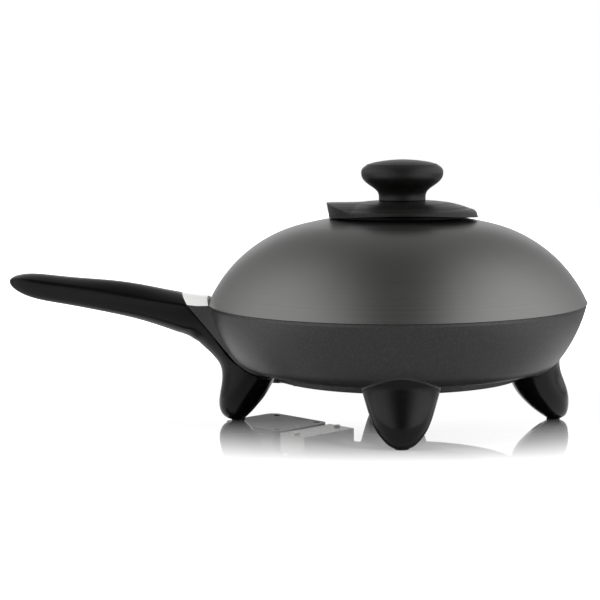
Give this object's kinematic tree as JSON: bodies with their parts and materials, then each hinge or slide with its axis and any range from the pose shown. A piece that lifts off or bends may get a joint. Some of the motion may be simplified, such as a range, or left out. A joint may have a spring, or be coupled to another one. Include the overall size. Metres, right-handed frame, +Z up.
{
  "type": "electric skillet",
  "caption": "Round cast electric skillet on feet, with a long handle, a domed lift-off lid with a knob and vent plate, and a plug-in heat control with a dial.",
  "frame": {"origin": "bottom centre of the whole skillet, on the surface it stands on, midway between the handle's tip and the far side of the rim", "axes": "+X away from the handle, +Y to the back where the heat control plugs in, +Z up; the pan's own axis is vertical at X = 0.083 m, Y = 0"},
  "size_m": [0.4762, 0.3116, 0.2157],
  "materials": {
    "pan_metal": "cast, dark grey fired coating with a metallic fleck, dark non-stick inside",
    "heater_metal": "cast, bare",
    "lid_metal": "spun and anodised charcoal, satin",
    "handle_black": "moulded phenolic, glossy black",
    "foot_black": "moulded phenolic, glossy black",
    "knob_black": "moulded phenolic, satin warm black",
    "vent_black": "moulded phenolic, satin warm black",
    "shutter_steel": "pressed stainless sheet",
    "screw_steel": "zinc plated",
    "element_steel": "stainless sheath",
    "pin_nickel": "nickel plated, polished",
    "bush_ceramic": "steatite, unglazed",
    "guard_steel": "pressed steel",
    "pad_rubber": "moulded rubber",
    "case_black": "moulded phenolic, fine matte texture",
    "dial_black": "moulded phenolic, satin",
    "probe_steel": "drawn stainless tube",
    "contact_brass": "stamped brass",
    "bimetal_strip": "rolled bimetal strip",
    "spacer_ceramic": "steatite, unglazed",
    "lens_amber": "moulded clear amber plastic",
    "lamp_glass": "neon lamp"
  },
  "bodies": {
    "root": {"pan_body": "pan_metal", "heater_casting": "heater_metal", "heater_screws": "screw_steel", "heating_element": "element_steel", "terminal_pins": "pin_nickel", "terminal_insulators": "bush_ceramic", "terminal_guard": "guard_steel", "guard_screws": "screw_steel", "handle_body": "handle_black", "handle_screws": "screw_steel", "front_foot": "foot_black", "rear_foot": "foot_black", "right_foot": "foot_black", "foot_screws": "screw_steel", "foot_pads": "pad_rubber"},
    "lid": {"lid_shell": "lid_metal", "knob_sleeve": "knob_black", "knob_body": "knob_black", "knob_cap": "knob_black", "knob_washer": "screw_steel", "knob_screw": "screw_steel"},
    "vent": {"vent_plate": "vent_black", "vent_shutter": "shutter_steel"},
    "control": {"control_lower_case": "case_black", "control_upper_case": "case_black", "control_screws": "screw_steel", "probe_tube": "probe_steel", "socket_contacts": "contact_brass", "thermostat_frame": "guard_steel", "bimetal_blade": "bimetal_strip", "blade_spacer": "spacer_ceramic", "contact_blade": "contact_brass", "pilot_lens": "lens_amber", "pilot_lamp": "lamp_glass"},
    "dial": {"dial_shaft": "pin_nickel", "control_dial": "dial_black"}
  },
  "joints": [
    {"name": "lid_lift", "type": "slide", "parent": "root", "child": "lid", "axis": [0, 0, 1], "range_m": [0, 0.15]},
    {"name": "vent_turn", "type": "hinge", "parent": "lid", "child": "vent", "pos_m": [0.0876, 0, 0.17], "axis": [0, 0, 1], "range_deg": [0, 60]},
    {"name": "control_pull", "type": "slide", "parent": "root", "child": "control", "axis": [-0.7071, 0.7071, 0], "range_m": [0, 0.12]},
    {"name": "dial_turn", "type": "hinge", "parent": "control", "child": "dial", "pos_m": [-0.03297, 0.11597, 0.055], "axis": [0, 0, 1], "range_deg": [0, 270]}
  ]
}
